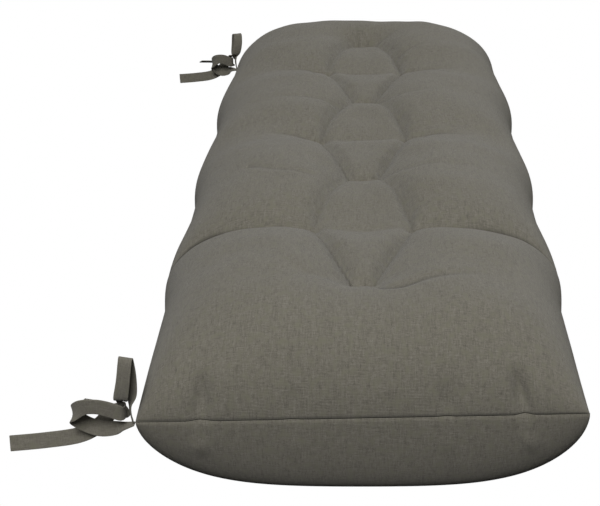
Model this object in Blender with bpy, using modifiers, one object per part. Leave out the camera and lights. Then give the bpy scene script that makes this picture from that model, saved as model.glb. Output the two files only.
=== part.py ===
"""Tufted bench cushion with a knotted pair of straps at each end of its back edge.

Metres, +Z up. The cushion's length runs along Y and its width along X, and the
origin is the middle of the flat underside. The back edge, where the straps are
sewn into the corners, is the side at -X.
"""
import math

import bmesh
import bpy
from mathutils import Matrix, Vector

# Driving sizes of the filled cushion.
CUSHION_LENGTH = 1.140
CUSHION_WIDTH = 0.420
SEAM_HEIGHT = 0.092
CROWN_HEIGHT = 0.101
SEAM_TILT = 0.004
SEAM_TILT_RUN = 6

# How the filling rounds off towards the seam. A fullness is an exponent, at the
# ends and further in: the higher it is, the squarer the cross-section.
UPPER = {"fullness": (3.0, 4.2), "edge": 0.50, "nose": 0.100, "bulge": 0.003, "bulge_flatness": 4}
LOWER = {"fullness": (4.0, 4.0), "edge": 0.40, "nose": 0.045, "bulge": 0.012, "bulge_flatness": 2}
FULLNESS_RUN = 0.25
BULGE_SPAN = 0.16

# Rows of tufts from the near end: single ones on the centre line between pairs.
# Each row has its stitch, and the crease that runs out from it to the sides: how
# deep it is at the tuft and at its outer end, where that is, and its reach.
TUFT_ROWS = (
    # tufts, stitch, depth_at_tuft, depth_at_end, ends_at, reach
    ("single", 0.020, 0.000, 0.000, 0.140, 0.045),
    ("pair", 0.022, 0.023, 0.018, 0.209, 0.040),
    ("single", 0.032, 0.000, 0.000, 0.160, 0.045),
    ("pair", 0.022, 0.010, 0.000, 0.140, 0.042),
    ("single", 0.026, 0.000, 0.000, 0.150, 0.045),
    ("pair", 0.022, 0.010, 0.000, 0.135, 0.042),
    ("single", 0.026, 0.000, 0.000, 0.150, 0.045),
)
END_TO_FIRST_ROW = 0.136
PAIR_OFFSET = 0.060
TUFT_DEPTHS = {"single": 0.016, "pair": 0.019}
TUFT_REACH = 0.042
UNDERSIDE_TUFT_DEPTH = 0.016
UNDERSIDE_TUFT_REACH = 0.036

# The sides are drawn in between the end seams and swell beside each pair.
WAIST = 0.003
WAIST_RUN = 0.10
SIDE_SWELL = 0.0095
SIDE_SWELL_REACH = 0.110

# The middle between the tufts lies lower than the crowns beside it, and the
# whole top sags a little at each pair of tufts, though less in the middle.
MIDDLE_SINK = 0.018
MIDDLE_HALF_WIDTH = 0.095
SINK_STARTS = {"near": 0.020, "far": 0.070}
SINK_RUN = 0.080
PAIR_SAG = 0.016
PAIR_SAG_REACH = 0.095
PAIR_SAG_IN_MIDDLE = 0.4

# Creases between the tufts: how deep each kind is and how far it spreads. The
# bowed ones run from a pair to the single tufts on both sides of it.
DIAGONAL_CREASE = {"depth": 0.015, "reach": 0.023}
DIAGONAL_BOW = {"towards_near_end": 1.0, "away": 1.43}
DIAGONAL_PIECES = 5
PAIR_CREASE = {"depth": 0.008, "reach": 0.034}
CREASE_SHARPNESS = 1.9
CREASE_BLEND = 4.0
CLOSEST = 0.0005

# Cells of each panel, across and along, and how they crowd towards the seam.
PANEL_CELLS = {"across": 34, "along": 74}
CROWDING = {"across": 4, "along": 10}
SEAM_MERGE = 0.00005

# The straps: a flat woven band, folded into a loop each and knotted.
STRAP_WIDTH = 0.015
STRAP_THICKNESS = 0.0014
STRAP_COLUMNS = 2
STRAP_STEP = 0.004
STRAP_GAP = 0.0003

# Route of the strap with the side loop and the long tail, from the corner out.
# out, depth and height are the band's middle, lean_* its width's direction,
# gather the share of its width that shows, turn its share of the tie's turn,
# and section says which of the tie's stretches it takes.
SIDE_STRAP = (
    # out, depth, height, lean_out, lean_depth, lean_height, gather, turn, section
    (0.0001, -0.0010, -0.0010, 0.00, 1.00, 0.00, 0.45, 0.0, "root"),
    (0.0100, 0.0000, -0.0040, 0.00, 0.90, 0.50, 0.60, 0.0, "loop"),
    (0.0205, 0.0030, -0.0080, 0.30, 0.45, 0.85, 0.90, 0.0, "loop"),
    (0.0340, 0.0060, -0.0100, 0.00, 0.41, 0.91, 1.00, 0.1, "loop"),
    (0.0470, 0.0060, -0.0050, -0.10, 0.30, 0.95, 1.00, 0.1, "loop"),
    (0.0560, -0.0010, 0.0080, -0.10, 0.10, 0.99, 1.00, 0.1, "loop"),
    (0.0470, -0.0085, 0.0200, 0.00, 0.00, 1.00, 1.00, 0.1, "loop"),
    (0.0320, -0.0110, 0.0225, 0.00, 0.00, 1.00, 1.00, 0.1, "loop"),
    (0.0190, -0.0095, 0.0180, 0.00, 0.00, 1.00, 1.00, 0.0, "loop"),
    (0.0100, -0.0065, 0.0128, 0.00, 0.00, 1.00, 0.90, 0.0, "loop"),
    (0.0078, 0.0005, 0.0127, 0.00, 0.00, 1.00, 0.78, 0.0, "tail"),
    (0.0110, 0.0080, 0.0118, 0.10, 0.00, 1.00, 0.70, 0.0, "tail"),
    (0.0240, 0.0125, 0.0030, 0.50, 0.20, 0.80, 0.90, 0.0, "tail"),
    (0.0370, 0.0145, -0.0120, 0.60, 0.30, 0.75, 1.00, 0.0, "tail"),
    (0.0560, 0.0120, -0.0210, 0.20, 0.35, 0.93, 1.00, 0.0, "tail"),
    (0.0860, 0.0080, -0.0240, 0.00, 0.38, 0.92, 1.00, 0.0, "tail"),
    (0.1190, 0.0040, -0.0252, 0.00, 0.38, 0.92, 1.00, 0.0, "tail"),
)

# Route of the strap with the upright loop and the short tail.
UPRIGHT_STRAP = (
    # out, depth, height, lean_out, lean_depth, lean_height, gather, turn, section
    (0.0016, -0.0010, 0.0010, 0.20, 0.98, 0.00, 0.36, 0.0, "root"),
    (0.0030, -0.0020, 0.0110, 0.30, 0.95, 0.00, 0.45, 0.0, "loop"),
    (0.0030, -0.0020, 0.0195, 0.35, 0.93, 0.00, 0.55, 0.0, "loop"),
    (0.0022, -0.0012, 0.0310, 0.93, 0.37, 0.00, 0.90, 1.0, "loop"),
    (0.0014, -0.0020, 0.0500, 0.95, 0.31, 0.00, 0.90, 1.0, "loop"),
    (0.0022, -0.0050, 0.0675, 0.95, 0.31, 0.00, 0.90, 1.0, "loop"),
    (0.0026, -0.0085, 0.0712, 0.95, 0.31, 0.00, 0.90, 1.0, "loop"),
    (0.0032, -0.0120, 0.0675, 0.95, 0.31, 0.00, 0.90, 1.0, "loop"),
    (0.0056, -0.0145, 0.0500, 0.95, 0.31, 0.00, 0.90, 1.0, "loop"),
    (0.0092, -0.0125, 0.0320, 0.98, 0.20, 0.00, 0.90, 1.0, "loop"),
    (0.0120, -0.0042, 0.0264, 1.00, 0.00, 0.00, 0.50, 0.4, "loop"),
    (0.0122, -0.0003, 0.0190, 1.00, 0.00, 0.00, 0.32, 0.0, "loop"),
    (0.0123, 0.0009, 0.0100, 1.00, 0.00, 0.00, 0.31, 0.0, "loop"),
    (0.0108, 0.0053, 0.0023, 1.00, 0.00, 0.00, 0.30, 0.0, "loop"),
    (0.0094, 0.0150, 0.0005, 1.00, 0.00, 0.00, 0.40, 0.0, "loop"),
    (0.0200, 0.0265, 0.0014, 0.60, 0.75, -0.30, 0.80, 0.2, "short_tail"),
    (0.0360, 0.0285, 0.0045, 0.10, 0.91, -0.41, 1.00, 0.3, "short_tail"),
    (0.0520, 0.0285, 0.0075, 0.00, 0.91, -0.41, 1.00, 0.4, "short_tail"),
)

# The knot's middle, out from the corner.
KNOT_OUT = 0.0122

# Each tie sits at a corner of the back edge. Its loops are turned about the
# knot. Its heights are scaled by the rise and lifted past the root, and each
# section of a strap, out from the knot, is scaled by its stretch.
TIES = (
    {"name": "near", "end": -1, "turn": 0.0, "rise": 1.0, "lift": 0.0,
     "stretch": {"root": 1.0, "loop": 1.0, "tail": 1.0, "short_tail": 1.0}},
    {"name": "far", "end": 1, "turn": 40.0, "rise": 0.80, "lift": 0.003,
     "stretch": {"root": 1.0, "loop": 0.66, "tail": 0.80, "short_tail": 1.12}},
)

LINEN = {"colour": (0.118, 0.110, 0.092, 1.0), "roughness": 0.92}
STRAP_LINEN = {"colour": (0.128, 0.120, 0.100, 1.0), "roughness": 0.90}


def cleared_scene():
    """Remove what the file holds and return a collection for the cushion."""
    for leftover in list(bpy.data.objects):
        bpy.data.objects.remove(leftover)
    parts = bpy.data.collections.new("bench_cushion")
    bpy.context.scene.collection.children.link(parts)
    return parts


def cloth_material(name, colour, roughness):
    material = bpy.data.materials.new(name)
    material.use_nodes = True
    surface = material.node_tree.nodes["Principled BSDF"]
    surface.inputs["Base Color"].default_value = colour
    surface.inputs["Roughness"].default_value = roughness
    surface.inputs["Metallic"].default_value = 0.0
    return material


def crowded(u, power):
    """Even steps from -1 to 1, crowded towards both ends."""
    return u * (1 + 1 / power) - math.copysign(abs(u) ** (power + 1), u) / power


def tuft_rows():
    """The rows of tufts: each one's place along Y, its tufts' X, stitch and crease."""
    pitch = (CUSHION_LENGTH - 2 * END_TO_FIRST_ROW) / (len(TUFT_ROWS) - 1)
    rows = []
    for index, (tufts, stitch, *crease) in enumerate(TUFT_ROWS):
        rows.append({
            "y": -CUSHION_LENGTH / 2 + END_TO_FIRST_ROW + index * pitch,
            "x": (-PAIR_OFFSET, PAIR_OFFSET) if tufts == "pair" else (0.0,),
            "depth": TUFT_DEPTHS[tufts],
            "stitch": stitch,
            "crease": crease,
        })
    return rows


def bowed_route(paired, single):
    """Points of the crease from one of a pair to a single tuft, bowed outwards."""
    inner = single["stitch"] / 2
    outer = PAIR_OFFSET - paired["stitch"] / 4
    bow = DIAGONAL_BOW["towards_near_end" if single["y"] < paired["y"] else "away"]
    points = []
    for piece in range(DIAGONAL_PIECES + 1):
        turn = math.pi / 2 * piece / DIAGONAL_PIECES
        share_out = max(0.0, math.cos(turn)) ** (2 / bow)
        share_along = math.sin(turn) ** (2 / bow)
        points.append((inner + (outer - inner) * share_out,
                       paired["y"] + (single["y"] - paired["y"]) * share_along))
    return points


def dent_lines(rows):
    """The stitches and the creases between them, as straight lines that dent."""
    dents = []

    def dent(start, end, depth, reach):
        depths = depth if isinstance(depth, tuple) else (depth, depth)
        dents.append({"start": start, "end": end, "depths": depths, "reach": reach})

    for index, row in enumerate(rows):
        y = row["y"]
        half_stitch = row["stitch"] / 2
        for x in row["x"]:
            dent((x - half_stitch, y), (x + half_stitch, y), row["depth"], TUFT_REACH)
        if len(row["x"]) == 2:
            dent((row["x"][0], y), (row["x"][1], y), **PAIR_CREASE)
        at_tuft, at_end, ends_at, reach = row["crease"]
        for side in (-1, 1):
            if at_tuft > 0:
                dent((side * max(row["x"]), y), (side * ends_at, y), (at_tuft, at_end), reach)
        if index + 1 == len(rows):
            continue
        paired, single = sorted((row, rows[index + 1]), key=lambda r: -len(r["x"]))
        for side in (-1, 1):
            route = [(side * x, y) for x, y in bowed_route(paired, single)]
            for start, end in zip(route, route[1:]):
                dent(start, end, **DIAGONAL_CREASE)
    return dents


def nearness(x, y, dent):
    """A point's distance to a dent, in parts of its reach, and its depth there."""
    start, end = dent["start"], dent["end"]
    run_x = end[0] - start[0]
    run_y = end[1] - start[1]
    along = ((x - start[0]) * run_x + (y - start[1]) * run_y) / (run_x ** 2 + run_y ** 2)
    along = min(1.0, max(0.0, along))
    distance = math.hypot(x - start[0] - along * run_x, y - start[1] - along * run_y)
    depth = dent["depths"][0] + (dent["depths"][1] - dent["depths"][0]) * along
    return max(distance, CLOSEST) / dent["reach"], depth


def dip(share, depth):
    """A valley that is sharp at its bottom and eases out at its rim."""
    return depth * max(0.0, 1.0 - share) ** CREASE_SHARPNESS


def beside_pairs(y, rows, reach):
    """One at a row with a pair of tufts, and falling to nothing at the reach."""
    shares = [min(1.0, abs(y - row["y"]) / reach) for row in rows if len(row["x"]) == 2]
    return sum(math.cos(math.pi / 2 * share) ** 2 for share in shares)


def slow_drop(x, y, rows):
    """How far the top lies below its crown in the middle and at the pairs."""
    start = SINK_STARTS["near" if y < 0 else "far"]
    inward = min(1.0, max(0.0, (CUSHION_LENGTH / 2 - abs(y) - start) / SINK_RUN))
    middle = 0.5 + 0.5 * math.cos(math.pi * min(1.0, abs(x) / MIDDLE_HALF_WIDTH))
    sag = PAIR_SAG * (1.0 - (1.0 - PAIR_SAG_IN_MIDDLE) * middle)
    return MIDDLE_SINK * middle * inward + sag * beside_pairs(y, rows, PAIR_SAG_REACH)


def tuft_drop(x, y, dents):
    """How far the upper panel is drawn down at a point by tufts and creases."""
    pulls = [nearness(x, y, dent) for dent in dents]
    weights = [share ** -CREASE_BLEND for share, _ in pulls]
    depth = sum(w * pull[1] for w, pull in zip(weights, pulls)) / sum(weights)
    return dip(sum(weights) ** (-1 / CREASE_BLEND), depth)


def nose(y, run):
    """Rounding of the filling towards an end: 0 at the end seam, 1 past the run."""
    inward = min(1.0, (CUSHION_LENGTH / 2 - abs(y)) / run)
    return max(0.0, 1.0 - (1.0 - inward) ** 2) ** 0.5


def half_width(y, rows):
    """Half the cushion's width: drawn in a little, and swollen beside each pair."""
    drawn_in = WAIST * nose(y, WAIST_RUN) ** 2
    return CUSHION_WIDTH / 2 - drawn_in + SIDE_SWELL * beside_pairs(y, rows, SIDE_SWELL_REACH)


def fullness(across, y, panel):
    """How far the panel has risen at a point across it: 0 at the side seams."""
    inward = min(1.0, (CUSHION_LENGTH / 2 - abs(y)) / FULLNESS_RUN)
    at_end, inside = panel["fullness"]
    return max(0.0, 1.0 - abs(across) ** (at_end + (inside - at_end) * inward)) ** panel["edge"]


def end_bulge(across, v, panel):
    """How far a panel swells out past the end seam."""
    depth_in = min(1.0, (1.0 - abs(v)) / BULGE_SPAN)
    shape = 1.0 - abs(across) ** panel["bulge_flatness"]
    return math.copysign(panel["bulge"] * math.sin(math.pi * depth_in) * shape, v)


def seam_height(across, v):
    """The end seams hang a little lower at the back corners."""
    return SEAM_HEIGHT + SEAM_TILT * across * abs(v) ** SEAM_TILT_RUN


def panel_point(u, v, panel, rows, dents):
    """A grid's point from -1 to 1 both ways, laid on the upper or lower panel."""
    across = crowded(u, CROWDING["across"])
    y = CUSHION_LENGTH / 2 * crowded(v, CROWDING["along"])
    x = half_width(y, rows) * across
    seam = seam_height(across, v)
    filled = fullness(across, y, panel) * nose(y, panel["nose"])
    if panel is UPPER:
        rise = CROWN_HEIGHT - slow_drop(x, y, rows) - tuft_drop(x, y, dents)
        z = seam + rise * filled
    else:
        dimple = max(dip(math.hypot(x - tuft_x, y - row["y"]) / UNDERSIDE_TUFT_REACH,
                         UNDERSIDE_TUFT_DEPTH)
                     for row in rows for tuft_x in row["x"])
        z = seam * (1.0 - filled) + dimple * filled
    return Vector((x, y + end_bulge(across, v, panel), z))


def filled_cushion(parts, material):
    """Two shaped panels joined at the seam, as one closed solid."""
    rows = tuft_rows()
    dents = dent_lines(rows)
    bm = bmesh.new()
    for panel in (UPPER, LOWER):
        grid = bmesh.ops.create_grid(bm, x_segments=PANEL_CELLS["across"],
                                     y_segments=PANEL_CELLS["along"], size=1.0)
        for vertex in grid["verts"]:
            vertex.co = panel_point(vertex.co.x, vertex.co.y, panel, rows, dents)
    bmesh.ops.remove_doubles(bm, verts=bm.verts, dist=SEAM_MERGE)
    bmesh.ops.recalc_face_normals(bm, faces=bm.faces)
    mesh = bpy.data.meshes.new("cushion")
    bm.to_mesh(mesh)
    bm.free()
    mesh.shade_smooth()
    mesh.materials.append(material)
    cushion = bpy.data.objects.new("cushion", mesh)
    parts.objects.link(cushion)
    return cushion


def through_points(before, start, end, after, t):
    """A smooth curve's point between start and end, led by their neighbours."""
    return 0.5 * (2 * start + (end - before) * t
                  + (2 * before - 5 * start + 4 * end - after) * t ** 2
                  + (3 * start - before - 3 * end + after) * t ** 3)


def placed_station(station, tie):
    """A station's middle and width direction, with the tie's turn and stretch."""
    out, depth, height, lean_out, lean_depth, lean_height, _, turn_share, section = station
    turn = Matrix.Rotation(math.radians(tie["turn"] * turn_share), 3, "Z")
    from_knot = out - KNOT_OUT
    if from_knot > 0:
        from_knot *= tie["stretch"][section]
    raised = height * tie["rise"] + (0.0 if section == "root" else tie["lift"])
    middle = turn @ Vector((-from_knot, depth, raised)) - Vector((KNOT_OUT, 0, 0))
    return middle, turn @ Vector((-lean_out, lean_depth, lean_height)).normalized()


def route_samples(stations, tie):
    """Middles, width directions and shown widths at even steps along a route."""
    middles, leans = zip(*(placed_station(station, tie) for station in stations))
    gathers = [Vector((station[6], 0, 0)) for station in stations]
    samples = []
    last = len(stations) - 1
    for index in range(last):
        picks = [max(0, index - 1), index, index + 1, min(last, index + 2)]
        steps = max(2, round((middles[index + 1] - middles[index]).length / STRAP_STEP))
        for step in range(steps + (index == last - 1)):
            t = step / steps
            samples.append(tuple(through_points(*(row[pick] for pick in picks), t)
                                 for row in (middles, leans, gathers)))
    return samples


def strap(parts, name, stations, corner, tie, material):
    """A flat band laid along its route and given its thickness."""
    samples = route_samples(stations, tie)
    count = len(samples) - 1
    bm = bmesh.new()
    bmesh.ops.create_grid(bm, x_segments=count, y_segments=STRAP_COLUMNS, size=1.0)
    for vertex in bm.verts:
        index = round((vertex.co.x + 1) / 2 * count)
        side = vertex.co.y
        middle, lean, gather = samples[index]
        travel = samples[min(count, index + 1)][0] - samples[max(0, index - 1)][0]
        travel.normalize()
        across = (lean - travel * lean.dot(travel)).normalized()
        vertex.co = middle + across * side * gather.x * STRAP_WIDTH / 2
    mesh = bpy.data.meshes.new(name)
    bm.to_mesh(mesh)
    bm.free()
    mesh.shade_smooth()
    mesh.materials.append(material)
    band = bpy.data.objects.new(name, mesh)
    band.location = corner
    thickness = band.modifiers.new("thickness", "SOLIDIFY")
    thickness.thickness = STRAP_THICKNESS
    thickness.offset = 0.0
    thickness.use_even_offset = True
    parts.objects.link(band)
    return band


def ties(parts, material):
    """Both corners' pairs of straps."""
    for tie in TIES:
        corner = Vector((-CUSHION_WIDTH / 2 - STRAP_GAP, tie["end"] * CUSHION_LENGTH / 2,
                         SEAM_HEIGHT - SEAM_TILT))
        for role, stations in (("side", SIDE_STRAP), ("upright", UPRIGHT_STRAP)):
            strap(parts, f"strap_{tie['name']}_{role}", stations, corner, tie, material)


def main():
    parts = cleared_scene()
    filled_cushion(parts, cloth_material("linen", **LINEN))
    ties(parts, cloth_material("strap_linen", **STRAP_LINEN))


main()
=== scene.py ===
# %% [markdown]
# # A tufted bench cushion
#
# This lesson dresses a plain solid of a bench cushion as the real thing: a sewn
# cover of heathered cloth, filled until it swells between its tufts, with a pair
# of straps knotted at each corner of its back edge. The solid, which we load
# first, gives the place and the size of everything that follows.

# %% Load the solid frame
import math

import bpy
import numpy as np
from mathutils import Matrix, Vector


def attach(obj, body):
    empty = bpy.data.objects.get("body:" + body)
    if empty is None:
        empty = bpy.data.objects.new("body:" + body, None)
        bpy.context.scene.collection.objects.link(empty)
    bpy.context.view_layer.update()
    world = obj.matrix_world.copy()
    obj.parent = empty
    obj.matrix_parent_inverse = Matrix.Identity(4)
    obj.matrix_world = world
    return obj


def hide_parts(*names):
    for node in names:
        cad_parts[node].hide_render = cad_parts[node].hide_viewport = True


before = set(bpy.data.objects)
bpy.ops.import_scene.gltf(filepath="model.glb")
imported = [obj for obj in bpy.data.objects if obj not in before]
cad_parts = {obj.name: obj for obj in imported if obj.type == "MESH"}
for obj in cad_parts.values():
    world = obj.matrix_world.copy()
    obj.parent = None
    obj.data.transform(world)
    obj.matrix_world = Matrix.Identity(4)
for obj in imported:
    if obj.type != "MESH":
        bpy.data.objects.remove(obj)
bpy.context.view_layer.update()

# %% [markdown]
# The picture looks down the length of the cushion through a fairly long lens.
# How fast the two long sides draw together gives the lens and the camera's
# height. The picture is cut off-centre, which `shift_x` repeats.

# %% Camera
CAMERA = {"lens": 85.22, "pitch": 23.853, "place": (0.0046, -1.7073, 0.7619), "shift_x": -0.1125}


def look_along_the_bench():
    bpy.ops.object.camera_add(location=CAMERA["place"],
                              rotation=(math.radians(90 - CAMERA["pitch"]), 0, 0))
    camera = bpy.context.object
    camera.name = "product_camera"
    camera.data.lens = CAMERA["lens"]
    camera.data.sensor_width = 36
    camera.data.shift_x = CAMERA["shift_x"]
    bpy.context.scene.camera = camera
    return camera


print("camera at", tuple(round(v, 3) for v in look_along_the_bench().location))

# %% [markdown]
# Soft daylight from large windows does the lighting. A wide lamp above the camera
# lights the end that faces it as well as the top, weaker ones stand to the right
# and beyond the far end, and the sky fills the rest. Next to none of it comes from
# below, so the underside falls into shade. The camera itself sees white paper in
# place of the sky. Sky and cloth are both made of shader nodes, so we write one
# short helper for them first.

# %% A helper for shader nodes


def add_node(tree, kind, inputs=None, **settings):
    """A new node with its settings, each input given a value or linked to an output."""
    node = tree.nodes.new(kind)
    for setting, value in settings.items():
        setattr(node, setting, value)
    for socket, value in (inputs or {}).items():
        if isinstance(value, bpy.types.NodeSocket):
            tree.links.new(value, node.inputs[socket])
        else:
            node.inputs[socket].default_value = value
    return node


print("helper ready:", add_node.__name__)

# %% Sky and background
SKY = {"above": 0.26, "below": 0.0, "darkest_at": -0.03, "brightest_at": 0.60}
SKY_COLOUR, PAPER_COLOUR = (1.0, 0.99, 0.975, 1), (1, 1, 1, 1)


def studio_sky():
    world = bpy.data.worlds.new("studio")
    bpy.context.scene.world = world
    world.use_nodes = True
    tree = world.node_tree
    tree.nodes.clear()
    place = add_node(tree, "ShaderNodeTexCoord")
    split = add_node(tree, "ShaderNodeSeparateXYZ", {0: place.outputs["Generated"]})
    rise = add_node(tree, "ShaderNodeMapRange", {
        "Value": split.outputs["Z"], "To Min": SKY["below"], "To Max": SKY["above"],
        "From Min": SKY["darkest_at"], "From Max": SKY["brightest_at"]})
    sky = add_node(tree, "ShaderNodeBackground", {
        "Color": SKY_COLOUR, "Strength": rise.outputs["Result"]})
    paper = add_node(tree, "ShaderNodeBackground", {"Color": PAPER_COLOUR, "Strength": 1.0})
    seen = add_node(tree, "ShaderNodeLightPath")
    mix = add_node(tree, "ShaderNodeMixShader", {
        "Fac": seen.outputs["Is Camera Ray"], 1: sky.outputs[0], 2: paper.outputs[0]})
    add_node(tree, "ShaderNodeOutputWorld", {"Surface": mix.outputs[0]})
    bpy.context.scene.view_settings.view_transform = "Standard"
    return world


print("world:", studio_sky().name, "with a sky of", SKY["above"], "above and", SKY["below"], "below")

# %% Window lamps
WINDOW_LAMPS = (
    # name, energy, size, place, aim
    ("window_front", 212.0, 1.8, (-0.3, -3.75, 3.65), (0.0, -0.3, 0.1)),
    ("window_right", 9.0, 1.2, (1.8, 0.2, 0.8), (0.0, 0.1, 0.1)),
    ("window_far", 8.0, 1.2, (-0.5, 1.9, 1.6), (0.0, 0.5, 0.1)),
)


def window_lamp(name, energy, size, place, aim):
    bpy.ops.object.light_add(type="AREA", location=place)
    lamp = bpy.context.object
    lamp.name = name
    lamp.data.energy = energy
    lamp.data.size = size
    lamp.rotation_euler = (Vector(place) - Vector(aim)).to_track_quat("Z", "Y").to_euler()
    return lamp


print("lamps:", [window_lamp(*row).name for row in WINDOW_LAMPS])

# %% [markdown]
# ## The cushion's form
#
# The cover is two panels of cloth sewn together all round, so it is modelled as
# two panels too: each starts as a flat grid and is shaped by moving its points.
# A cloth simulation could blow up such a cover, but then the tufts, the seam and
# the weave would drift. A few sizes drive the shape instead. They are the ones
# that the solid was made from, but for dents that fine creases deepen here and
# for slightly fuller lower corners, so the cloth lies where the solid is.

# %% Sizes of the filled cushion
LENGTH, WIDTH = 1.140, 0.420
SEAM_HEIGHT, SEAM_TILT = 0.092, 0.0048
CROWN_HEIGHT = 0.101
UPPER = {"fullness": (3.0, 4.2), "edge": 0.50, "nose": 0.100, "bulge": 0.003, "bulge_flatness": 4}
LOWER = {"fullness": (4.0, 4.0), "edge": 0.40, "nose": 0.045, "bulge": 0.012, "bulge_flatness": 2}
FULLNESS_RUN = 0.25
CORNER_SWELL = 0.005
WAIST, WAIST_RUN = 0.0030, 0.10
SIDE_SWELL, SIDE_SWELL_REACH = 0.0095, 0.110
MIDDLE_SINK, MIDDLE_HALF_WIDTH = 0.018, 0.095
SINK_STARTS, SINK_RUN = {"near": 0.020, "far": 0.070}, 0.080
PAIR_SAG, PAIR_SAG_REACH, PAIR_SAG_IN_MIDDLE = 0.016, 0.095, 0.4
print("filled cushion:", LENGTH, "x", WIDTH, "m at its seam,", CROWN_HEIGHT, "m crown above it")

# %% [markdown]
# The tufts stand in rows: single ones on the centre line, and pairs between
# them. The table gives each row's stitch and its crease towards the sides: how
# deep at the tuft and at its outer end, how far out it ends, and its reach.

# %% Tufts
TUFT_ROWS = (
    # tufts, stitch, depth_at_tuft, depth_at_end, ends_at, reach
    ("single", 0.020, 0.000, 0.000, 0.140, 0.045),
    ("pair", 0.022, 0.021, 0.016, 0.209, 0.038),
    ("single", 0.032, 0.000, 0.000, 0.160, 0.045),
    ("pair", 0.022, 0.010, 0.000, 0.140, 0.042),
    ("single", 0.026, 0.000, 0.000, 0.150, 0.045),
    ("pair", 0.022, 0.010, 0.000, 0.135, 0.042),
    ("single", 0.026, 0.000, 0.000, 0.150, 0.045),
)
END_TO_FIRST_ROW, PAIR_OFFSET = 0.136, 0.060
ROW_PITCH = (LENGTH - 2 * END_TO_FIRST_ROW) / (len(TUFT_ROWS) - 1)
ROWS = [{"y": -LENGTH / 2 + END_TO_FIRST_ROW + index * ROW_PITCH, "stitch": stitch,
         "x": (-PAIR_OFFSET, PAIR_OFFSET) if kind == "pair" else (0.0,), "crease": crease}
        for index, (kind, stitch, *crease) in enumerate(TUFT_ROWS)]
print("rows of tufts at y =", [round(row["y"], 3) for row in ROWS])

# %% [markdown]
# Every stitch and every crease is a dent: a straight line in plan that pulls the
# cloth down, with a depth at each end and a reach to its sides. The creases
# from a single tuft to a pair are bowed, as the swollen filling pushes them out.

# %% Dents
DIAGONAL = {"depth": 0.013, "reach": 0.018}
DIAGONAL_BOW = {"towards_camera": 1.0, "away": 1.43}
DIAGONAL_PIECES = 8
PIT = {"single": 0.013, "pair": 0.016, "reach": 0.042}
BETWEEN_PAIR = {"depth": 0.008, "reach": 0.034}


def bowed_route(pair, single):
    """Points from a pair's tuft to the single tuft beside it, on the right side."""
    inner, outer = single["stitch"] / 2, PAIR_OFFSET - pair["stitch"] / 4
    bow = DIAGONAL_BOW["towards_camera" if single["y"] < pair["y"] else "away"]
    turns = np.linspace(0, math.pi / 2, DIAGONAL_PIECES + 1)
    out = np.cos(turns).clip(0) ** (2 / bow)
    along = np.sin(turns) ** (2 / bow)
    return list(zip(inner + (outer - inner) * out, pair["y"] + (single["y"] - pair["y"]) * along))


def add_dent(dents, start, end, depth, reach):
    depths = depth if isinstance(depth, tuple) else (depth, depth)
    dents.append({"start": start, "end": end, "depths": depths, "reach": reach})


def main_dents():
    dents = []
    for index, row in enumerate(ROWS):
        y, half_stitch = row["y"], row["stitch"] / 2
        pit = PIT["pair" if len(row["x"]) == 2 else "single"]
        for x in row["x"]:
            add_dent(dents, (x - half_stitch, y), (x + half_stitch, y), pit, PIT["reach"])
        if len(row["x"]) == 2:
            add_dent(dents, (row["x"][0], y), (row["x"][1], y), **BETWEEN_PAIR)
        at_tuft, at_end, ends_at, reach = row["crease"]
        for side in (-1, 1):
            if at_tuft > 0:
                start = (side * max(row["x"]), y)
                add_dent(dents, start, (side * ends_at, y), (at_tuft, at_end), reach)
        if index + 1 < len(ROWS):
            pair, single = sorted((row, ROWS[index + 1]), key=lambda r: -len(r["x"]))
            for side in (-1, 1):
                route = [(side * x, y) for x, y in bowed_route(pair, single)]
                for start, end in zip(route, route[1:]):
                    add_dent(dents, start, end, **DIAGONAL)
    return dents


DENTS = main_dents()
print(len(DENTS), "dents pull the upper panel down")

# %% [markdown]
# All points are worked on at once, as arrays. Where two dents are near, their
# pulls are blended, so that the cloth stays one smooth surface.

# %% How a dent pulls
BLEND, CLOSEST, SHARPNESS = 4.0, 0.0005, 1.9


def distance_to(x, y, start, end):
    """Distance of each point to a line, and how far along the line it lies."""
    run_x, run_y = end[0] - start[0], end[1] - start[1]
    along = ((x - start[0]) * run_x + (y - start[1]) * run_y) / (run_x ** 2 + run_y ** 2)
    along = along.clip(0, 1)
    return np.hypot(x - start[0] - along * run_x, y - start[1] - along * run_y), along


def dip(share, depth, sharpness=SHARPNESS):
    return depth * (1 - share).clip(0) ** sharpness


def blended_drop(x, y, dents):
    total, weighted = np.zeros_like(x), np.zeros_like(x)
    for dent in dents:
        distance, along = distance_to(x, y, dent["start"], dent["end"])
        weight = (distance.clip(CLOSEST) / dent["reach"]) ** -BLEND
        total += weight
        weighted += weight * (dent["depths"][0] + (dent["depths"][1] - dent["depths"][0]) * along)
    return dip(total ** (-1 / BLEND), weighted / total)


print("half-way to its reach, a dent still has", round(0.5 ** SHARPNESS, 2), "of its depth")

# %% [markdown]
# Cloth that is pulled to a stitch also folds sharply. These fine creases lie in
# the soft dents: thin lines, each a short list of points in plan that starts near
# a tuft. The first pair of tufts has the deepest, which run out over the sides.
# More of them follow the bowed dents between the single tufts and the pairs.

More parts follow.
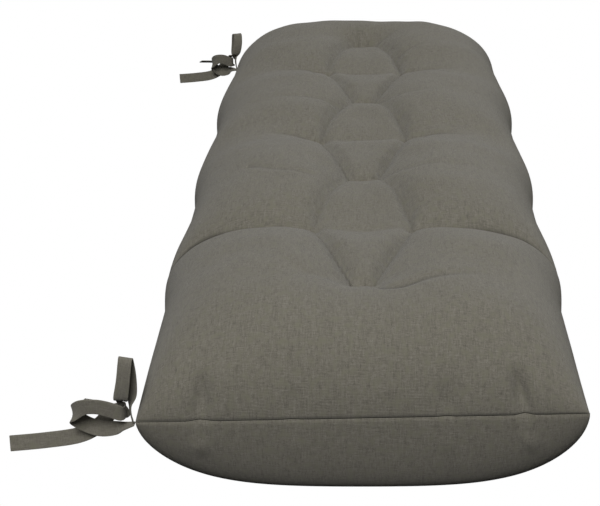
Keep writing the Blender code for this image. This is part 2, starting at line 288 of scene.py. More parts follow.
# %% Fine creases
FINE_CREASES = (
    # name, depth at its start, at its end, reach, half-width of its line of painted shade, points
    ("first_left", 0.0048, 0.0075, 0.010, 0.0060,
     ((-0.062, -0.292), (-0.096, -0.288), (-0.131, -0.284), (-0.165, -0.281), (-0.187, -0.283),
      (-0.210, -0.289))),
    ("first_right", 0.0025, 0.0075, 0.010, 0.0060,
     ((0.062, -0.291), (0.100, -0.285), (0.127, -0.283), (0.153, -0.281), (0.179, -0.282),
      (0.210, -0.289))),
    ("second_left", 0.0040, 0.0008, 0.010, 0.0040, ((-0.062, 0.000), (-0.092, 0.004), (-0.120, 0.006))),
    ("second_right", 0.0040, 0.0008, 0.010, 0.0040, ((0.062, 0.000), (0.095, 0.004), (0.126, 0.006))),
    ("third_left", 0.0032, 0.0005, 0.010, 0.0040, ((-0.062, 0.289), (-0.095, 0.292), (-0.130, 0.293))),
    ("third_right", 0.0035, 0.0005, 0.010, 0.0040, ((0.062, 0.289), (0.095, 0.292), (0.130, 0.293))),
    ("near_right", 0.0060, 0.0005, 0.012, 0.0050,
     ((0.014, -0.452), (0.021, -0.467), (0.039, -0.470), (0.055, -0.465), (0.078, -0.460),
      (0.126, -0.447))),
    ("near_left", 0.0030, 0.0010, 0.022, 0.0000,
     ((-0.016, -0.446), (-0.058, -0.450), (-0.087, -0.418), (-0.121, -0.365))),
    ("middle_left", 0.0012, 0.0024, 0.009, 0.0045,
     ((-0.059, -0.184), (-0.095, -0.178), (-0.134, -0.154))),
    ("middle_right", 0.0022, 0.0005, 0.012, 0.0040,
     ((0.020, -0.145), (0.055, -0.160), (0.130, -0.155))),
    ("beyond_left", 0.0018, 0.0012, 0.009, 0.0045, ((-0.039, 0.108), (-0.075, 0.109), (-0.116, 0.111))),
    ("beyond_right", 0.0022, 0.0005, 0.012, 0.0040, ((0.016, 0.145), (0.045, 0.128), (0.100, 0.131))),
    ("end_middle", 0.0026, 0.0004, 0.014, 0.0050, ((-0.008, 0.434), (-0.012, 0.465), (-0.015, 0.490))),
    ("end_right", 0.0030, 0.0004, 0.013, 0.0050, ((0.012, 0.428), (0.030, 0.436), (0.050, 0.450))),
    ("end_far_right", 0.0024, 0.0004, 0.013, 0.0050, ((0.054, 0.350), (0.080, 0.366), (0.104, 0.372))),
)
# Each bowed crease's line is the half-width of the shade painted along it.
BOWED_CREASES = {
    "towards_camera": {"depths": (0.0018, 0.0042), "reach": 0.011, "line": 0.0026},
    "away": {"depths": (0.0032, 0.0006), "reach": 0.012, "line": 0.0050},
}
BOWED_STRENGTHS = (
    # left, right, for each space between two rows
    (1.0, 0.7),
    (0.5, 1.0),
    (0.8, 0.6),
    (0.8, 0.9),
    (0.7, 0.6),
    (0.3, 1.1),
)


def creases_by_hand():
    return [{"depths": (first, last), "reach": reach, "line": line, "route": route}
            for _, first, last, reach, line, route in FINE_CREASES]


def creases_in_bowed_dents():
    creases = []
    for row, next_row, strengths in zip(ROWS, ROWS[1:], BOWED_STRENGTHS):
        pair, single = sorted((row, next_row), key=lambda r: -len(r["x"]))
        fold = BOWED_CREASES["towards_camera" if single["y"] < pair["y"] else "away"]
        for side, strength in zip((-1, 1), strengths):
            route = [(side * x, y) for x, y in bowed_route(pair, single)]
            depths = tuple(strength * depth for depth in fold["depths"])
            creases.append({**fold, "route": route, "depths": depths})
    return creases


CREASES = creases_by_hand() + creases_in_bowed_dents()
print(len(CREASES), "fine creases, by hand:", [row[0] for row in FINE_CREASES])

# %% [markdown]
# A crease is a narrow dent along its route, and so is the stitch at each tuft. The
# finest of them are hardly wider than a cell of the grid, so the shade that falls in
# them is also painted into the cloth's colour as dark lines. For that, each point of
# the cloth is told how far it lies from the nearest crease, on which side, and how
# dark the painted shade of the line is there.

# %% Depth of the creases and their painted shade
FINE_STITCH, FINE_SHARPNESS = {"depth": 0.0045, "reach": 0.012}, 1.4
DEEPEST_FOLD, FOLD_SHADE_REACH, FOLD_SHADE_CONTRAST = 0.007, 0.014, 1.5


def nearest_on_route(x, y, route):
    """Distance to a route of points, how far along it that is, and on which side of it."""
    lengths = [math.dist(a, b) for a, b in zip(route, route[1:])]
    nearest, share, side = np.full_like(x, 9.0), np.zeros_like(x), np.ones_like(x)
    passed = 0.0
    for start, end, length in zip(route, route[1:], lengths):
        distance, along = distance_to(x, y, start, end)
        closer = distance < nearest
        turn = (end[0] - start[0]) * (y - start[1]) - (end[1] - start[1]) * (x - start[0])
        share = np.where(closer, (passed + along * length) / sum(lengths), share)
        side = np.where(closer, np.sign(turn), side)
        nearest = np.minimum(distance, nearest)
        passed += length
    return nearest, share, side


def fine_drop(x, y):
    drop = np.zeros_like(x)
    for crease in CREASES:
        nearest, share, _ = nearest_on_route(x, y, crease["route"])
        first, last = crease["depths"]
        depth = first + (last - first) * share
        drop = np.maximum(drop, dip(nearest / crease["reach"], depth, FINE_SHARPNESS))
    for row in ROWS:
        for tuft_x in row["x"]:
            start = (tuft_x - row["stitch"] / 2, row["y"])
            end = (tuft_x + row["stitch"] / 2, row["y"])
            distance, _ = distance_to(x, y, start, end)
            pit = dip(distance / FINE_STITCH["reach"], FINE_STITCH["depth"], FINE_SHARPNESS)
            drop = np.maximum(drop, pit)
    return drop


def painted_fold_shade(x, y):
    """Signed distance to the nearest crease, as a share of its line, and how dark the painted shade along
    the line is.
    """
    signed, shade = np.ones_like(x), np.zeros_like(x)
    for crease in CREASES:
        if crease["line"] == 0:
            continue
        nearest, share, side = nearest_on_route(x, y, crease["route"])
        first, last = crease["depths"]
        depth = (first + (last - first) * share) / DEEPEST_FOLD
        between_ends = (share > 0) & (share < 1)
        # Painted shade: how dark the crease's line is painted, from its depth and the distance to it.
        here = depth ** FOLD_SHADE_CONTRAST * between_ends * (1 - nearest / FOLD_SHADE_REACH).clip(0)
        signed = np.where(here > shade, side * nearest / crease["line"], signed)
        shade = np.maximum(here, shade)
    return signed, shade


print("of them draw a dark line:", sum(crease["line"] > 0 for crease in CREASES))

# %% [markdown]
# The filling is never quite even. A sum of slow waves, each with its own
# direction, stands for the lumps and the small slack of the cloth. A noise would
# do as well, but with waves each size of lump has its own height in a table.

# %% Unevenness
WAVES = (
    # wavelength, height, direction in degrees, phase
    (0.210, 0.0011, 17, 0.3),
    (0.148, 0.0009, 71, 1.9),
    (0.112, 0.0008, 128, 4.1),
    (0.083, 0.0006, 44, 2.2),
    (0.061, 0.0004, 101, 5.0),
    (0.047, 0.0003, 158, 0.9),
)
SWAY, SWAY_STRETCH = 0.35, 1.7


def unevenness(x, y):
    lumps = np.zeros_like(x)
    for wavelength, height, direction, phase in WAVES:
        turn = math.radians(direction)
        travel = x * math.cos(turn) + y * math.sin(turn)
        sideways = y * math.cos(turn) - x * math.sin(turn)
        sway = SWAY * np.sin(2 * math.pi * sideways / (SWAY_STRETCH * wavelength) + phase)
        lumps += height * np.sin(2 * math.pi * travel / wavelength + phase + sway)
    return lumps


print("lumps of the filling: up to", round(sum(height for _, height, *_ in WAVES) * 1000, 1), "mm")

# %% [markdown]
# At the two ends the seam shows from the front. The cloth turns in at it, so the
# seam lies in a narrow groove, and where the filling pulls, puckers cross it. A
# pucker is a narrow fold that draws the cloth in above the seam and puffs it out
# a little below, so each is a row of a table rather than a sculpted dent.

# %% End seams and their puckers
SEAM_GROOVE = {"depth": 0.0012, "reach": 0.0016}
PUCKERS = (
    # place across, reach, depth, top, lean, puff, lift
    (-0.150, 0.0080, 0.0080, 0.048, 0.05, 0.0028, 0.0009),
    (-0.066, 0.0070, 0.0022, 0.036, 0.00, 0.0010, 0.0005),
    (0.078, 0.0065, 0.0038, 0.042, -0.08, 0.0010, 0.0001),
    (0.150, 0.0062, 0.0098, 0.050, -0.22, 0.0030, 0.0009),
)
PUCKER_FOOT, PUCKER_ROUNDNESS = 0.15, 1.5
PUFF = {"below": 0.030, "reach": 0.010}


def seam_line(x, across, v):
    """Height of the seam: it tilts a little at the ends and rises at each pucker."""
    near_end, at_end = np.abs(v) ** 6, np.abs(v) ** 40
    height = SEAM_HEIGHT + SEAM_TILT * across * near_end
    for place, reach, *_, lift in PUCKERS:
        height += lift * np.exp(-((x - place) / reach) ** 2) * at_end
    return height


def end_tuck(x, height):
    """How far the end's cloth is drawn in: at the seam, and in folds above it that puff out below."""
    tuck = SEAM_GROOVE["depth"] * np.exp(-(height / SEAM_GROOVE["reach"]) ** 2)
    for place, reach, depth, top, lean, puff, _ in PUCKERS:
        fold = np.exp(-((x - place - lean * height) / reach) ** 2)
        climb = (height / top * (1 - PUCKER_FOOT) + PUCKER_FOOT).clip(0, 1)
        above = np.sin(math.pi * climb) ** PUCKER_ROUNDNESS
        below = np.exp(-((height + PUFF["below"]) / PUFF["reach"]) ** 2)
        tuck = tuck + fold * (depth * above - puff * below)
    return tuck


print("puckers across each end seam:", len(PUCKERS))

# %% [markdown]
# Now the two panels. The grid's cells crowd towards the seams, where the shape
# turns fastest. The sides are drawn in a little, and swell beside each pair of
# tufts, where the cloth has been pulled inwards and the filling outwards.

# %% The panel's outline
CELLS = {"across": 132, "along": 366}
CROWDING = {"ease": 0.05, "across": 4, "along": 10}
END_BULGE_RUN = 0.16


def crowded(u, power):
    """The same places, from -1 to 1, but drawn towards the two ends."""
    w = 1 - np.abs(u)
    eased = w * w / (w + CROWDING["ease"]) * (1 + CROWDING["ease"])
    u = np.sign(u) * (1 - eased)
    return u * (1 + 1 / power) - np.sign(u) * np.abs(u) ** (power + 1) / power


def nose(y, run):
    """Nought at the two ends, rising to one in a quarter circle."""
    inward = ((LENGTH / 2 - np.abs(y)) / run).clip(0, 1)
    return (1 - (1 - inward) ** 2).clip(0) ** 0.5


def beside_pairs(y, reach):
    """One at a row with a pair of tufts, and falling to nothing at the reach."""
    shares = [(np.abs(y - row["y"]) / reach).clip(0, 1) for row in ROWS if len(row["x"]) == 2]
    return sum(np.cos(math.pi / 2 * share) ** 2 for share in shares)


def half_width(y):
    return WIDTH / 2 - WAIST * nose(y, WAIST_RUN) ** 2 + SIDE_SWELL * beside_pairs(y, SIDE_SWELL_REACH)


def swell_past_end(across, v, side):
    inward = ((1 - np.abs(v)) / END_BULGE_RUN).clip(0, 1)
    shape = 1 - np.abs(across) ** side["bulge_flatness"]
    return np.sign(v) * side["bulge"] * np.sin(math.pi * inward) * shape


print("half width at the rows:", [round(float(half_width(np.float64(row["y"]))), 4) for row in ROWS])

# %% [markdown]
# The upper panel is a crown that sinks along its middle and at each pair of
# tufts, and from which all the dents are taken. The lower one is pressed flat
# by its own weight, with a shallow dimple where each stitch comes through.

# %% The panel's places
DIMPLE = {"depth": 0.016, "reach": 0.036}


def sink_of_middle(x, y):
    start = np.where(y < 0, SINK_STARTS["near"], SINK_STARTS["far"])
    inward = ((LENGTH / 2 - np.abs(y) - start) / SINK_RUN).clip(0, 1)
    sideways = (np.abs(x) / MIDDLE_HALF_WIDTH).clip(0, 1)
    middle = 0.5 + 0.5 * np.cos(math.pi * sideways)
    sag = PAIR_SAG * (1 - (1 - PAIR_SAG_IN_MIDDLE) * middle)
    return MIDDLE_SINK * middle * inward + sag * beside_pairs(y, PAIR_SAG_REACH)


def dimples(x, y):
    deepest = np.zeros_like(x)
    for row in ROWS:
        for tuft_x in row["x"]:
            share = np.hypot(x - tuft_x, y - row["y"]) / DIMPLE["reach"]
            deepest = np.maximum(deepest, dip(share, DIMPLE["depth"]))
    return deepest


def panel_places(u, v, side):
    """Where the points of a flat square, from -1 to 1, lie on the filled panel."""
    across, along = crowded(u, CROWDING["across"]), crowded(v, CROWDING["along"])
    y = LENGTH / 2 * along
    x = half_width(y) * across
    from_end = ((LENGTH / 2 - np.abs(y)) / FULLNESS_RUN).clip(0, 1)
    at_end, inside = side["fullness"]
    full = (1 - np.abs(across) ** (at_end + (inside - at_end) * from_end)).clip(0) ** side["edge"]
    seam = seam_line(x, across, v)
    if side is UPPER:
        rise = CROWN_HEIGHT - sink_of_middle(x, y) - blended_drop(x, y, DENTS) - fine_drop(x, y)
        z = seam + (rise + unevenness(x, y)) * full * nose(y, side["nose"])
    else:
        pressed = (full * nose(y, side["nose"])).clip(0, 1)
        swell = CORNER_SWELL * np.abs(across) ** 6 * (1 - from_end) ** 2
        x = x + np.sign(x) * swell * np.sin(math.pi * pressed)
        z = seam * (1 - pressed) + dimples(x, y) * pressed
    y = y + swell_past_end(across, along, side)
    in_end_half = np.abs(along) > 0.5
    y = y - np.sign(v) * end_tuck(x, z - seam) * in_end_half
    return np.stack([x, y, z], axis=1)


middle_of_top = panel_places(np.zeros(1), np.zeros(1), UPPER)[0]
print("the middle of the top lies at", middle_of_top.round(4))

# %% [markdown]
# Each row and column of points is measured along the cloth, and these lengths
# become the panel's UV map, so that the weave later follows the cloth and isn't
# stretched over the rounded sides. The lower panel's map lies beside the upper's.

# %% Make the two panels
LOWER_MAP_SHIFT = 1.0


def cloth_lengths(places, shape):
    """Each row's and column's mean distance along the cloth from the middle lines."""
    net = places.reshape(*shape, 3)
    lengths = []
    for axis in (1, 0):
        steps = np.linalg.norm(np.diff(net, axis=axis), axis=2)
        run = np.concatenate([np.zeros_like(steps.take([0], axis)), steps.cumsum(axis)], axis)
        run = (run - run.take([shape[axis] // 2], axis)).mean(axis=1 - axis, keepdims=True)
        lengths.append(np.broadcast_to(run, shape).ravel())
    return np.stack(lengths, axis=1)


# Stores where each fold's painted shade lies and how dark it is, for the material.
def mark_painted_fold_shade(mesh, places):
    signed, shade = painted_fold_shade(places[:, 0], places[:, 1])
    mesh.attributes.new("fold_distance", "FLOAT", "POINT").data.foreach_set("value", signed)
    mesh.attributes.new("fold_shade", "FLOAT", "POINT").data.foreach_set("value", shade)


def panel(side):
    bpy.ops.object.select_all(action="DESELECT")
    bpy.ops.mesh.primitive_grid_add(x_subdivisions=CELLS["across"], y_subdivisions=CELLS["along"],
                                    size=2)
    piece = bpy.context.object
    mesh = piece.data
    count = len(mesh.vertices)
    flat = np.empty(count * 3)
    mesh.vertices.foreach_get("co", flat)
    flat = flat.reshape(count, 3)
    places = panel_places(flat[:, 0], flat[:, 1], side)
    mesh.vertices.foreach_set("co", places.ravel())
    order = np.lexsort((flat[:, 0], flat[:, 1]))
    lengths = np.empty((count, 2))
    lengths[order] = cloth_lengths(places[order], (CELLS["along"] + 1, CELLS["across"] + 1))
    if side is LOWER:
        lengths[:, 0] += LOWER_MAP_SHIFT
    else:
        mark_painted_fold_shade(mesh, places)
    corners = np.empty(len(mesh.loops), dtype=np.int32)
    mesh.loops.foreach_get("vertex_index", corners)
    mesh.uv_layers.active.data.foreach_set("uv", lengths[corners].ravel())
    mesh.update()
    print("panel:", count, "points, cloth", np.ptp(lengths, axis=0).round(3), "m")
    return piece


upper_panel, lower_panel = panel(UPPER), panel(LOWER)

# %% [markdown]
# The panels are joined and their edges merged, which is the seam. The points that
# both panels share lie on it. They are marked in an attribute, so that the
# material can paint the shade in the seam's slit into the cloth's colour.

# %% Sew the panels together
MERGE_DISTANCE = 0.00005


def sewn_cover(upper, lower):
    bpy.ops.object.select_all(action="DESELECT")
    upper.select_set(True)
    lower.select_set(True)
    bpy.context.view_layer.objects.active = upper
    bpy.ops.object.join()
    cover = bpy.context.object
    cover.name = "cushion_cover"
    cover.data.name = "cushion_cover"
    bpy.ops.object.mode_set(mode="EDIT")
    bpy.ops.mesh.select_all(action="SELECT")
    bpy.ops.mesh.remove_doubles(threshold=MERGE_DISTANCE)
    bpy.ops.mesh.normals_make_consistent(inside=False)
    bpy.ops.object.mode_set(mode="OBJECT")
    bpy.ops.object.shade_smooth()
    return cover


def mark_seam(mesh):
    corners = np.empty(len(mesh.loops), dtype=np.int32)
    mesh.loops.foreach_get("vertex_index", corners)
    map_places = np.empty(len(corners) * 2)
    mesh.uv_layers.active.data.foreach_get("uv", map_places)
    in_lower = map_places[0::2] > LOWER_MAP_SHIFT / 2
    touched = np.zeros((len(mesh.vertices), 2), dtype=bool)
    touched[corners[~in_lower], 0] = True
    touched[corners[in_lower], 1] = True
    at_seam = touched.all(axis=1)
    mesh.attributes.new("seam", "FLOAT", "POINT").data.foreach_set("value", at_seam.astype(float))
    return int(at_seam.sum())


cover = sewn_cover(upper_panel, lower_panel)
print("cover:", len(cover.data.polygons), "faces,", mark_seam(cover.data), "points on the seam")

# %% [markdown]
# ## The straps
#
# Each strap is a narrow flat band, folded and sewn from the same cloth. It can't
# be made by a remeshing cloth simulation, because that would erase a thin band,
# so it is laid along a route of stations instead: each gives the middle of the
# band, the direction of its width, and how much of the width shows.

# %% Routes of the straps
STRAP = {"width": 0.015, "thickness": 0.0014, "step": 0.0016, "columns": 8,
         "gap": 0.0003, "below_seam": 0.004, "rounding": 0.0004, "edge_angle": 50}
KNOT_OUT = 0.0122
SIDE_ROUTE = (
    # out, depth, height, lean_out, lean_depth, lean_height, gather, turn, section
    (0.0001, -0.0010, -0.0010, 0.00, 1.00, 0.00, 0.45, 0.0, "root"),
    (0.0100, 0.0000, -0.0040, 0.00, 0.90, 0.50, 0.60, 0.0, "loop"),
    (0.0205, 0.0030, -0.0080, 0.30, 0.45, 0.85, 0.90, 0.0, "loop"),
    (0.0340, 0.0060, -0.0100, 0.00, 0.41, 0.91, 1.00, 0.1, "loop"),
    (0.0470, 0.0060, -0.0050, -0.10, 0.30, 0.95, 1.00, 0.1, "loop"),
    (0.0560, -0.0010, 0.0080, -0.10, 0.10, 0.99, 1.00, 0.1, "loop"),
    (0.0470, -0.0085, 0.0200, 0.00, 0.00, 1.00, 1.00, 0.1, "loop"),
    (0.0320, -0.0110, 0.0225, 0.00, 0.00, 1.00, 1.00, 0.1, "loop"),
    (0.0190, -0.0095, 0.0180, 0.00, 0.00, 1.00, 1.00, 0.0, "loop"),
    (0.0100, -0.0065, 0.0128, 0.00, 0.00, 1.00, 0.90, 0.0, "loop"),
    (0.0078, 0.0005, 0.0127, 0.00, 0.00, 1.00, 0.78, 0.0, "tail"),
    (0.0110, 0.0080, 0.0118, 0.10, 0.00, 1.00, 0.70, 0.0, "tail"),
    (0.0240, 0.0125, 0.0030, 0.50, 0.20, 0.80, 0.90, 0.0, "tail"),
    (0.0370, 0.0145, -0.0120, 0.60, 0.30, 0.75, 1.00, 0.0, "tail"),
    (0.0560, 0.0120, -0.0210, 0.20, 0.35, 0.93, 1.00, 0.0, "tail"),
    (0.0860, 0.0080, -0.0240, 0.00, 0.38, 0.92, 1.00, 0.0, "tail"),
    (0.1190, 0.0040, -0.0252, 0.00, 0.38, 0.92, 1.00, 0.0, "tail"),
)
UPRIGHT_ROUTE = (
    # out, depth, height, lean_out, lean_depth, lean_height, gather, turn, section
    (0.0016, -0.0010, 0.0010, 0.20, 0.98, 0.00, 0.36, 0.0, "root"),
    (0.0030, -0.0020, 0.0110, 0.30, 0.95, 0.00, 0.45, 0.0, "loop"),
    (0.0030, -0.0020, 0.0195, 0.35, 0.93, 0.00, 0.55, 0.0, "loop"),
    (0.0022, -0.0012, 0.0310, 0.93, 0.37, 0.00, 0.90, 1.0, "loop"),
    (0.0014, -0.0020, 0.0500, 0.95, 0.31, 0.00, 0.90, 1.0, "loop"),
    (0.0022, -0.0050, 0.0675, 0.95, 0.31, 0.00, 0.90, 1.0, "loop"),
    (0.0026, -0.0085, 0.0712, 0.95, 0.31, 0.00, 0.90, 1.0, "loop"),
    (0.0032, -0.0120, 0.0675, 0.95, 0.31, 0.00, 0.90, 1.0, "loop"),
    (0.0056, -0.0145, 0.0500, 0.95, 0.31, 0.00, 0.90, 1.0, "loop"),
    (0.0092, -0.0125, 0.0320, 0.98, 0.20, 0.00, 0.90, 1.0, "loop"),
    (0.0120, -0.0042, 0.0264, 1.00, 0.00, 0.00, 0.50, 0.4, "loop"),
    (0.0122, -0.0003, 0.0190, 1.00, 0.00, 0.00, 0.32, 0.0, "loop"),
    (0.0123, 0.0009, 0.0100, 1.00, 0.00, 0.00, 0.31, 0.0, "loop"),
    (0.0108, 0.0053, 0.0023, 1.00, 0.00, 0.00, 0.30, 0.0, "loop"),
    (0.0094, 0.0150, 0.0005, 1.00, 0.00, 0.00, 0.40, 0.0, "loop"),
    (0.0200, 0.0265, 0.0014, 0.60, 0.75, -0.30, 0.80, 0.2, "short_tail"),
    (0.0360, 0.0285, 0.0045, 0.10, 0.91, -0.41, 1.00, 0.3, "short_tail"),
    (0.0520, 0.0285, 0.0075, 0.00, 0.91, -0.41, 1.00, 0.4, "short_tail"),
)
TIES = (
    {"name": "near", "end": -1, "turn": 0.0, "rise": 1.0, "lift": 0.0,
     "stretch": {"root": 1.0, "loop": 1.0, "tail": 1.0, "short_tail": 1.0}},
    {"name": "far", "end": 1, "turn": 40.0, "rise": 0.80, "lift": 0.003,
     "stretch": {"root": 1.0, "loop": 0.66, "tail": 0.80, "short_tail": 1.12}},
)
print("a tie's two routes have", len(SIDE_ROUTE), "and", len(UPRIGHT_ROUTE), "stations")

# %% [markdown]
# Both ties follow the same two routes. Each turns, lowers and stretches them in
# its own way, since no two knots are alike. A smooth curve through the stations
# then gives the places that the band's rows of points will take.

# %% Smooth curves through the stations


def placed_station(station, tie):
    out, depth, height, lean_out, lean_depth, lean_height, _, turn_share, section = station
    turn = Matrix.Rotation(math.radians(tie["turn"] * turn_share), 3, "Z")
    from_knot = out - KNOT_OUT
    if from_knot > 0:
        from_knot *= tie["stretch"][section]
    raised = height * tie["rise"] + (0.0 if section == "root" else tie["lift"])
    middle = turn @ Vector((-from_knot, depth, raised)) - Vector((KNOT_OUT, 0, 0))
    return middle, turn @ Vector((-lean_out, lean_depth, lean_height)).normalized()


def through_points(before, start, end, after, t):
    return 0.5 * (2 * start + (end - before) * t
                  + (2 * before - 5 * start + 4 * end - after) * t ** 2
                  + (3 * start - before - 3 * end + after) * t ** 3)


def route_samples(stations, tie):
    middles, leans = zip(*(placed_station(station, tie) for station in stations))
    gathers = [Vector((station[6], 0, 0)) for station in stations]
    samples, last = [], len(stations) - 1
    for index in range(last):
        picks = [max(0, index - 1), index, index + 1, min(last, index + 2)]
        steps = max(2, round((middles[index + 1] - middles[index]).length / STRAP["step"]))
        for step in range(steps + (index == last - 1)):
            samples.append(tuple(through_points(*(row[pick] for pick in picks), step / steps)
                                 for row in (middles, leans, gathers)))
    return samples


print("the near side strap's curve has", len(route_samples(SIDE_ROUTE, TIES[0])), "samples")

# %% [markdown]
# A grid becomes the band: its long way follows the samples and its short way
# the width. A gathered stretch is narrower, as cloth is where a knot squeezes it.
# Solidify gives the thickness, and a small bevel rounds the folded edges.

# %% Lay the bands


def band_points(mesh, samples, corner):
    count = len(samples) - 1
    runs = [0.0]
    for before, after in zip(samples, samples[1:]):
        runs.append(runs[-1] + (after[0] - before[0]).length)
    lengths = []
    for vertex in mesh.vertices:
        index = round((vertex.co.x + 1) / 2 * count)
        side = vertex.co.y
        middle, lean, gather = samples[index]
        travel = samples[min(count, index + 1)][0] - samples[max(0, index - 1)][0]
        travel.normalize()
        across = (lean - travel * lean.dot(travel)).normalized()
        lengths.append((side * STRAP["width"] / 2, runs[index]))
        vertex.co = corner + middle + across * side * gather.x * STRAP["width"] / 2
    return lengths, runs[-1]


def lay_strap(name, stations, tie):
    samples = route_samples(stations, tie)
    bpy.ops.object.select_all(action="DESELECT")
    bpy.ops.mesh.primitive_grid_add(x_subdivisions=len(samples) - 1,
                                    y_subdivisions=STRAP["columns"], size=2)
    band = bpy.context.object
    band.name = name
    mesh = band.data
    corner = Vector((-WIDTH / 2 - STRAP["gap"], tie["end"] * LENGTH / 2,
                     SEAM_HEIGHT - STRAP["below_seam"]))
    lengths, run = band_points(mesh, samples, corner)
    for loop, spot in zip(mesh.loops, mesh.uv_layers.active.data):
        spot.uv = lengths[loop.vertex_index]
    area = sum(face.area for face in mesh.polygons)
    thickness = band.modifiers.new("thickness", "SOLIDIFY")
    thickness.thickness = STRAP["thickness"]
    thickness.offset = 0.0
    thickness.use_even_offset = True
    bpy.ops.object.modifier_apply(modifier="thickness")
    edges = band.modifiers.new("rounded_edges", "BEVEL")
    edges.width = STRAP["rounding"]
    edges.segments = 2
    edges.limit_method = "ANGLE"
    edges.angle_limit = math.radians(STRAP["edge_angle"])
    bpy.ops.object.modifier_apply(modifier="rounded_edges")
    bpy.ops.object.shade_smooth_by_angle(angle=math.radians(STRAP["edge_angle"]))
    print(f"{name}: {run * 1000:.0f} mm long, {area * 1e4:.1f} cm2, {len(mesh.polygons)} faces")
    return band, run, area


straps = []
for tie in TIES:
    for role, stations in (("side", SIDE_ROUTE), ("upright", UPRIGHT_ROUTE)):
        node = f"strap_{tie['name']}_{role}"
        band, run, area = lay_strap(f"{node}_band", stations, tie)
        straps.append({"piece": band, "node": node, "run": run, "area": area})

# %% [markdown]
# ## Cloth
#
# The cover is a fine plain weave of mixed yarns: brown, olive and grey threads
# spun together, so that no two threads have quite the same colour. Close up one
# sees threads, from a step back a soft grain. A picture of cloth would blur close
# up, so a node group makes both from the UV map, which is in metres along the
# threads. It puts out a colour and a height, and each material sets its own
# values. The maths in it is easier to read with a few more helpers.

# %% Helpers for the weave
WEAVE_SOCKETS = (
    # name, direction, kind, value
    ("Thread Pitch", "INPUT", "NodeSocketFloat", 0.0009),
    ("Dark", "INPUT", "NodeSocketColor", (0.10, 0.09, 0.07, 1)),
    ("Light", "INPUT", "NodeSocketColor", (0.20, 0.19, 0.16, 1)),
    ("Olive", "INPUT", "NodeSocketColor", (0.14, 0.14, 0.09, 1)),
    ("Slub", "INPUT", "NodeSocketFloat", 0.5),
    ("Color", "OUTPUT", "NodeSocketColor", None),
    ("Height", "OUTPUT", "NodeSocketFloat", None),
)


def weave_sockets(group):
    for name, direction, kind, value in WEAVE_SOCKETS:
        socket = group.interface.new_socket(name=name, in_out=direction, socket_type=kind)
        if value is not None:
            socket.default_value = value


def maths(tree, operation, *values, clamp=False):
    node = add_node(tree, "ShaderNodeMath", dict(enumerate(values)), operation=operation, use_clamp=clamp)
    return node.outputs[0]


def spread(tree, value, low, high):
    """Stretch what lies between low and high over the range from nought to one."""
    node = add_node(tree, "ShaderNodeMapRange", {"Value": value, "From Min": low, "From Max": high})
    return node.outputs["Result"]


def blend(tree, kind, share, first, second):
    node = add_node(tree, "ShaderNodeMix", {"Factor": share, "A": first, "B": second}, data_type=kind)
    return node.outputs["Result"]


print("the weave takes", [row[0] for row in WEAVE_SOCKETS if row[1] == "INPUT"])

# %% Weave node group
YARN = {"along": 210, "across": 1100, "detail": 2.0}
SLUB = {"along": 80, "across": 640, "detail": 1.0}
OLIVE_CLOUDS = {"Scale": 130, "Detail": 3}
WARP, WEFT = 1, 0


def yarn_noise(tree, uv_map, way, along, across, detail):
    """Noise stretched along the threads of one direction."""
    stretch = add_node(tree, "ShaderNodeMapping", {
        "Vector": uv_map, "Scale": (along, across, 1) if way == WEFT else (across, along, 1),
        "Location": (3.1 * (way + 1), 1.7, 0.4 * way)})
    noise = add_node(tree, "ShaderNodeTexNoise", {
        "Vector": stretch.outputs["Vector"], "Scale": 1.0, "Detail": detail, "Roughness": 0.6})
    return noise.outputs["Fac"]


def heather_weave():
    """Colour and height of a plain weave whose threads differ in colour."""
    group = bpy.data.node_groups.new("heather_weave", "ShaderNodeTree")
    weave_sockets(group)
    given = add_node(group, "NodeGroupInput").outputs
    uv_map = add_node(group, "ShaderNodeUVMap").outputs["UV"]
    split = add_node(group, "ShaderNodeSeparateXYZ", {0: uv_map}).outputs
    turns = maths(group, "DIVIDE", math.pi, given["Thread Pitch"])
    wave_u = maths(group, "SINE", maths(group, "MULTIPLY", split["X"], turns))
    wave_v = maths(group, "SINE", maths(group, "MULTIPLY", split["Y"], turns))
    checks = maths(group, "MULTIPLY", wave_u, wave_v)
    weft_on_top = maths(group, "MULTIPLY_ADD", checks, 0.5, 0.5)
    warp, weft = (yarn_noise(group, uv_map, way, **YARN) for way in (WARP, WEFT))
    slubs = maths(group, "ADD", *(yarn_noise(group, uv_map, way, **SLUB) for way in (WARP, WEFT)))
    slubs = maths(group, "MULTIPLY", maths(group, "SUBTRACT", slubs, 1.0), given["Slub"])
    share = maths(group, "ADD", blend(group, "FLOAT", weft_on_top, warp, weft), slubs)
    clouds = add_node(group, "ShaderNodeTexNoise", {"Vector": uv_map, **OLIVE_CLOUDS}).outputs["Fac"]
    colour = blend(group, "RGBA", spread(group, share, 0.30, 0.70), given["Dark"], given["Light"])
    colour = blend(group, "RGBA", spread(group, clouds, 0.48, 0.72), colour, given["Olive"])
    height = maths(group, "ADD", maths(group, "ABSOLUTE", checks), share)
    add_node(group, "NodeGroupOutput", {"Color": colour, "Height": height})
    return group


WEAVE = heather_weave()
print("node group:", WEAVE.name, "with", len(WEAVE.nodes), "nodes")
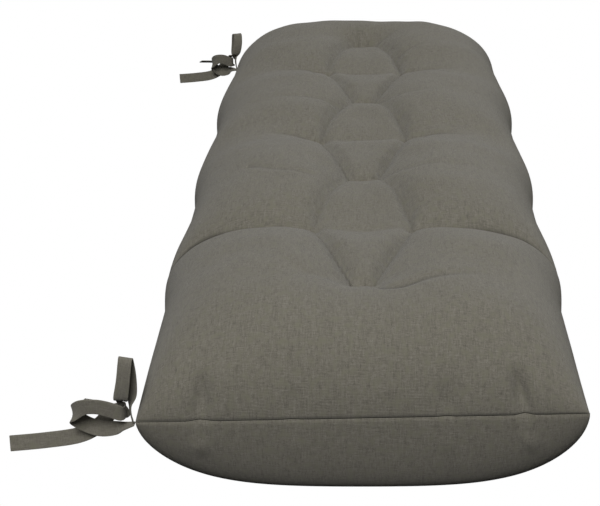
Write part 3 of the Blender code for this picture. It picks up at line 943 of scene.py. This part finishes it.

# %% [markdown]
# The cover's material places the weave, paints shade into the slit of the seam from
# the mesh's own mark, and gives the cloth a faint sheen, as loose fibres do. A fold's
# line of painted shade is finer than the mesh, so the mesh holds the distance to it,
# which passes through nought exactly on the line, and the material paints the line from that.

# %% Cloth materials
LINEN = {"Dark": (0.098, 0.090, 0.072, 1), "Light": (0.194, 0.182, 0.150, 1),
         "Olive": (0.150, 0.144, 0.108, 1), "Slub": 0.25, "Thread Pitch": 0.0011}
STRAP_LINEN = {"Dark": (0.104, 0.095, 0.077, 1), "Light": (0.190, 0.178, 0.146, 1),
               "Olive": (0.150, 0.144, 0.108, 1), "Slub": 0.25, "Thread Pitch": 0.0009}
# Painted shade: the colour that the seam's slit and the folds' lines are darkened to.
PAINTED_SHADE_COLOUR, SLIT_SHADE_STRENGTH = (0.012, 0.010, 0.007, 1), 2.0
CLOTH_BUMP = {"Distance": 0.0004, "Strength": 0.55}
CLOTH_FINISH = {"Roughness": 0.93, "Specular IOR Level": 0.22, "Sheen Weight": 0.12,
                "Sheen Roughness": 0.6}


def painted_shade_mask(tree):
    """A mask of the painted shade in the seam's slit and along the folds' lines."""
    seam, distance, shade = (
        add_node(tree, "ShaderNodeAttribute", attribute_name=name).outputs["Fac"]
        for name in ("seam", "fold_distance", "fold_shade"))
    line = add_node(tree, "ShaderNodeMapRange", {
        "Value": maths(tree, "ABSOLUTE", distance), "To Min": 1.0, "To Max": 0.0},
        interpolation_type="SMOOTHSTEP")
    fold = maths(tree, "MULTIPLY", line.outputs["Result"], shade)
    slit = maths(tree, "MULTIPLY", seam, SLIT_SHADE_STRENGTH, clamp=True)
    return maths(tree, "MAXIMUM", fold, slit)


def cloth(name, values, sewn=False):
    material = bpy.data.materials.new(name)
    material.use_nodes = True
    tree = material.node_tree
    weave = add_node(tree, "ShaderNodeGroup", values, node_tree=WEAVE).outputs
    colour = weave["Color"]
    if sewn:
        # Painted shade: the seam's slit and the fine folds' lines are darkened in the colour.
        colour = blend(tree, "RGBA", painted_shade_mask(tree), colour, PAINTED_SHADE_COLOUR)
    bump = add_node(tree, "ShaderNodeBump", {"Height": weave["Height"], **CLOTH_BUMP})
    surface = tree.nodes["Principled BSDF"]
    tree.links.new(colour, surface.inputs["Base Color"])
    tree.links.new(bump.outputs["Normal"], surface.inputs["Normal"])
    for socket, value in CLOTH_FINISH.items():
        surface.inputs[socket].default_value = value
    return material


def give(piece, material):
    piece.data.materials.clear()
    piece.data.materials.append(material)


give(cover, cloth("linen_cloth", LINEN, sewn=True))
strap_cloth = cloth("strap_cloth", STRAP_LINEN)
for strap in straps:
    give(strap["piece"], strap_cloth)
print("materials:", [cover.data.materials[0].name, strap_cloth.name])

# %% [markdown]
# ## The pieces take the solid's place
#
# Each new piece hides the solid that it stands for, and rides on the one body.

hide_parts("cushion")
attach(cover, "root")
for strap in straps:
    piece, length = strap["piece"], strap["run"]
    print(piece.name, "stands for", strap["node"])
    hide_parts(strap["node"])
    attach(piece, "root")
